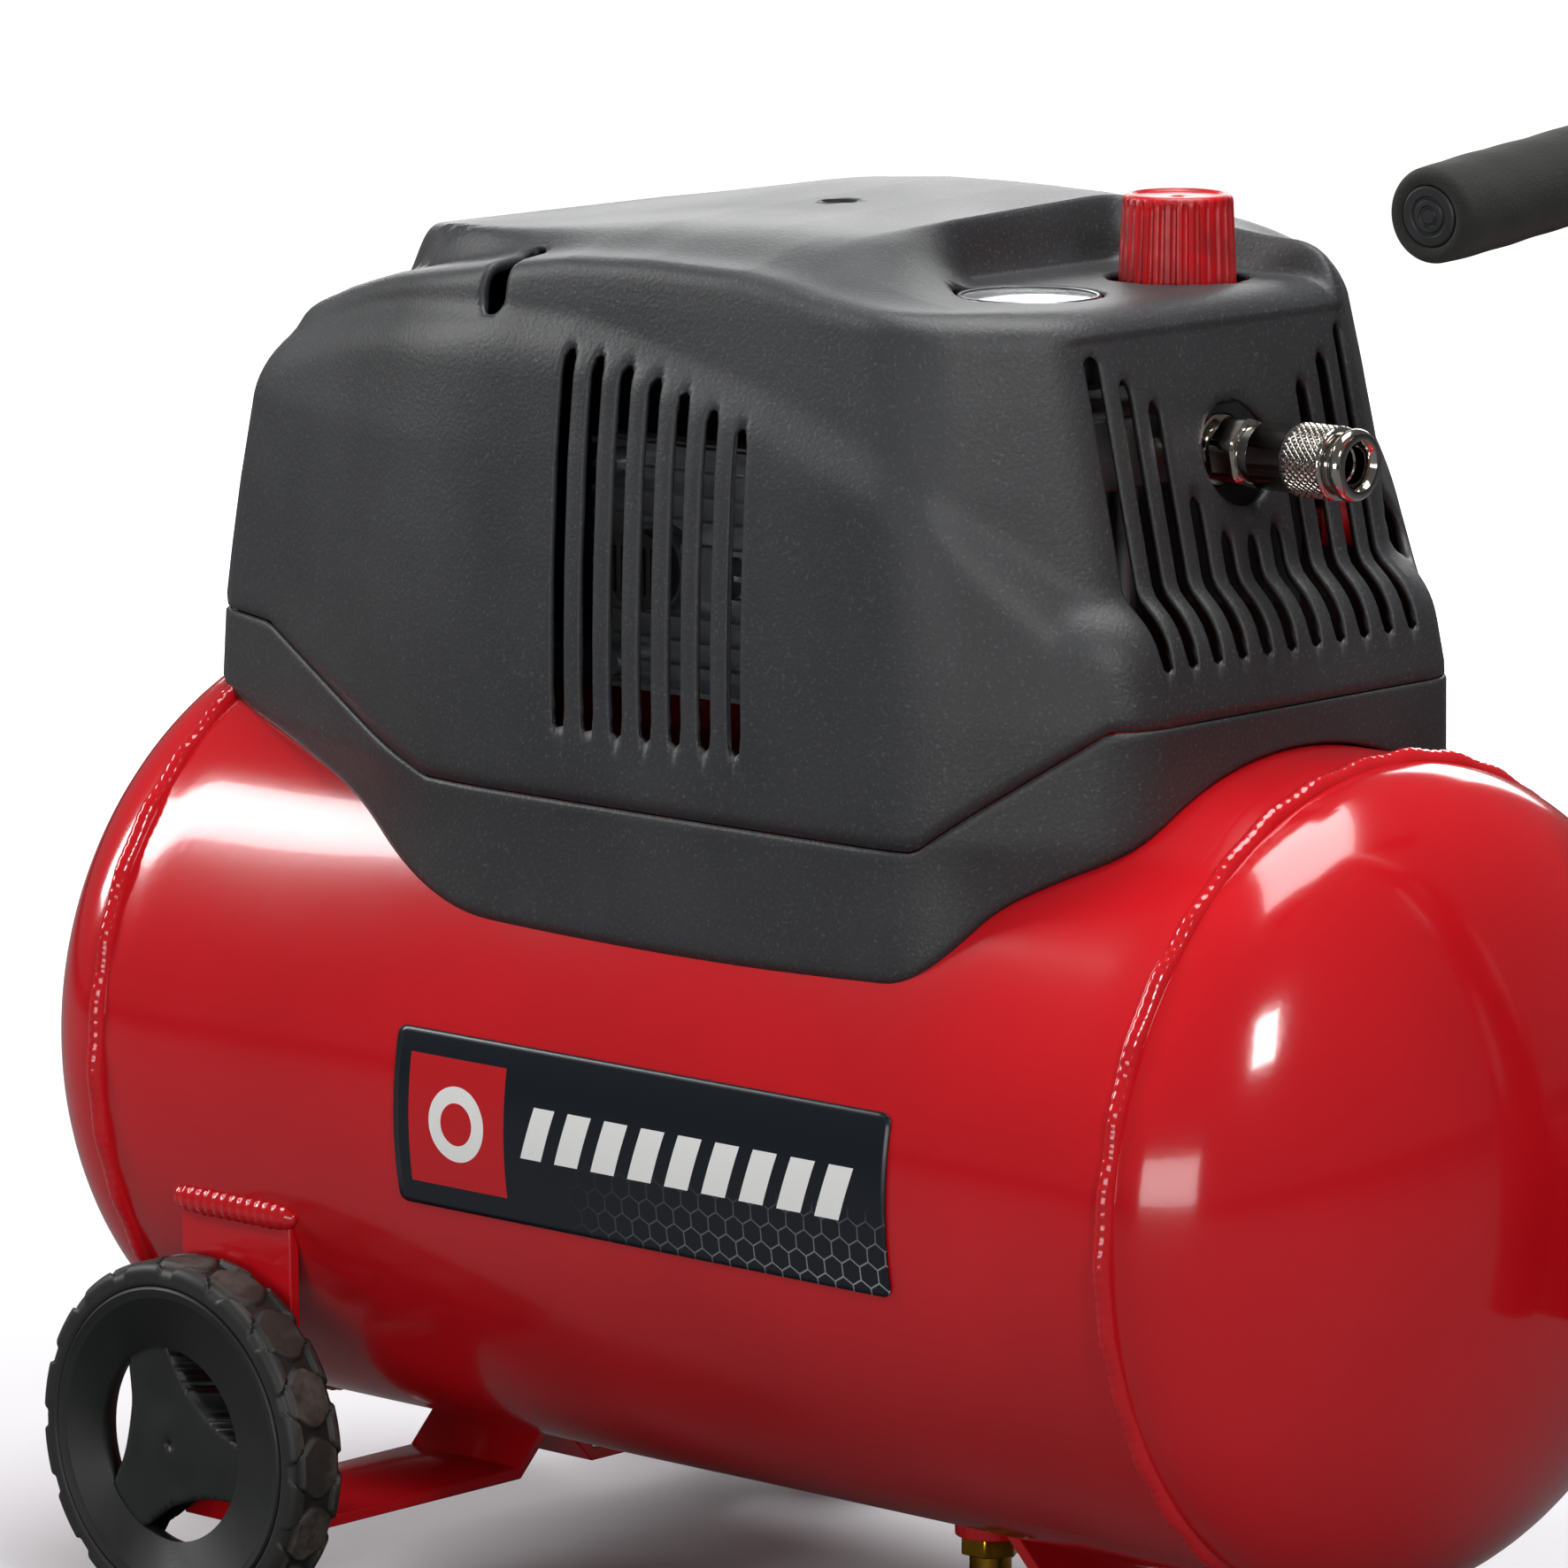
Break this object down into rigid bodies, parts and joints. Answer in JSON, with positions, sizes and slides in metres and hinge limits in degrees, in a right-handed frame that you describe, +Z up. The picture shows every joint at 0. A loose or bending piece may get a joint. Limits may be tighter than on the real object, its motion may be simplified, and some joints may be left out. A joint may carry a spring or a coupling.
{
  "type": "portable air compressor",
  "caption": "Oil-free air compressor on a lying red tank, with a black moulded cover, gauge, regulator knob, quick coupler, wheels, rubber foot and T handle.",
  "frame": {"origin": "on the floor, under the middle of the whole machine's outline", "axes": "+X along the tank towards the handle, +Y across the machine away from the labelled side, +Z up"},
  "size_m": [0.6025, 0.286, 0.4935],
  "materials": {
    "red_enamel": "glossy red baked enamel over steel",
    "label_film": "smooth printed film",
    "zinc_steel": "zinc plated steel",
    "wheel_plastic": "satin moulded plastic",
    "wheel_tread": "moulded tread, dusty on the blocks",
    "black_rubber": "matt rubber",
    "turned_brass": "turned brass",
    "cover_plastic": "fine spark-grained moulded plastic",
    "black_nylon": "plain moulded nylon",
    "gauge_steel": "dark plated steel",
    "dial_face": "printed white dial",
    "needle_paint": "black painted needle",
    "gauge_glass": "clear moulded lens",
    "cast_aluminium": "die cast aluminium",
    "red_plastic": "satin moulded plastic",
    "nickel_plate": "bright nickel plate",
    "core_steel": "laminated and turned steel",
    "can_aluminium": "drawn aluminium",
    "seal_plastic": "filled fluoropolymer",
    "black_foam": "closed-cell foam"
  },
  "bodies": {
    "root": {"tank_shell": "red_enamel", "rear_dome": "red_enamel", "front_dome": "red_enamel", "weld_beads": "red_enamel", "tank_bosses": "red_enamel", "front_label": "label_film", "left_wheel_bracket": "red_enamel", "right_wheel_bracket": "red_enamel", "axle_bolts": "zinc_steel", "axle_nuts": "zinc_steel", "foot_bracket": "red_enamel", "rubber_foot": "black_rubber", "foot_screw": "zinc_steel", "drain_valve": "turned_brass", "base_shell": "cover_plastic", "top_cover": "cover_plastic", "cover_screw": "zinc_steel", "cover_standoff": "zinc_steel", "cable_gland": "black_nylon", "gauge_case": "gauge_steel", "gauge_dial": "dial_face", "gauge_lens": "gauge_glass", "outlet_block": "cast_aluminium", "riser_pipe": "zinc_steel", "regulator_body": "turned_brass", "outlet_nipple": "nickel_plate", "coupler_body": "nickel_plate", "pressure_switch": "black_nylon", "safety_valve": "turned_brass", "motor_housing": "cast_aluminium", "motor_end_shield": "cast_aluminium", "stator_core": "core_steel", "shaft_bearings": "zinc_steel", "capacitor": "can_aluminium", "pump_rails": "zinc_steel", "rubber_mounts": "black_rubber", "mount_screws": "zinc_steel", "crankcase": "cast_aluminium", "crankcase_cover": "cast_aluminium", "cylinder_barrel": "cast_aluminium", "cylinder_head": "cast_aluminium", "air_filter": "black_nylon", "outlet_pipe": "can_aluminium", "check_valve": "turned_brass", "handle_post": "red_enamel", "handle_grips": "black_foam"},
    "left_wheel": {"left_wheel_rim": "wheel_plastic", "left_wheel_tyre": "wheel_tread"},
    "right_wheel": {"right_wheel_rim": "wheel_plastic", "right_wheel_tyre": "wheel_tread"},
    "crankshaft": {"rotor_shaft": "core_steel", "cooling_fan": "black_nylon"},
    "piston": {"connecting_rod": "cast_aluminium", "piston_seal": "seal_plastic"},
    "knob": {"regulator_knob": "red_plastic"},
    "needle": {"gauge_needle": "needle_paint"},
    "collar": {"coupler_sleeve": "nickel_plate"},
    "button": {"switch_button": "red_plastic"},
    "relief_ring": {"safety_ring": "zinc_steel"},
    "drain_tap": {"drain_screw": "turned_brass"}
  },
  "joints": [
    {"name": "left_wheel_spin", "type": "hinge", "parent": "root", "child": "left_wheel", "pos_m": [-0.18625, -0.132, 0.058], "axis": [0, 1, 0], "continuous": true},
    {"name": "right_wheel_spin", "type": "hinge", "parent": "root", "child": "right_wheel", "pos_m": [-0.18625, 0.132, 0.058], "axis": [0, 1, 0], "continuous": true},
    {"name": "crank_spin", "type": "hinge", "parent": "root", "child": "crankshaft", "pos_m": [-0.10825, 0.02, 0.342], "axis": [1, 0, 0], "continuous": true},
    {"name": "piston_stroke", "type": "slide", "parent": "root", "child": "piston", "axis": [0, 1, 0], "range_m": [0, 0.03]},
    {"name": "regulator_turn", "type": "hinge", "parent": "root", "child": "knob", "pos_m": [0.07175, 0.032, 0.428], "axis": [0, 0, 1], "range_deg": [-540, 540]},
    {"name": "needle_swing", "type": "hinge", "parent": "root", "child": "needle", "pos_m": [0.06875, -0.032, 0.423], "axis": [0, 0, 1], "range_deg": [-270, 0]},
    {"name": "collar_slide", "type": "slide", "parent": "root", "child": "collar", "axis": [-1, 0, 0], "range_m": [0, 0.004], "stiffness_N_per_m": 900},
    {"name": "button_push", "type": "slide", "parent": "root", "child": "button", "axis": [-0.7793, -0.6266, 0], "range_m": [0, 0.005]},
    {"name": "relief_pull", "type": "slide", "parent": "root", "child": "relief_ring", "axis": [-1, 0, 0], "range_m": [0, 0.003], "stiffness_N_per_m": 1500},
    {"name": "drain_turn", "type": "hinge", "parent": "root", "child": "drain_tap", "pos_m": [0.02775, 0, 0.022], "axis": [0, 0, 1], "range_deg": [0, 360]}
  ]
}
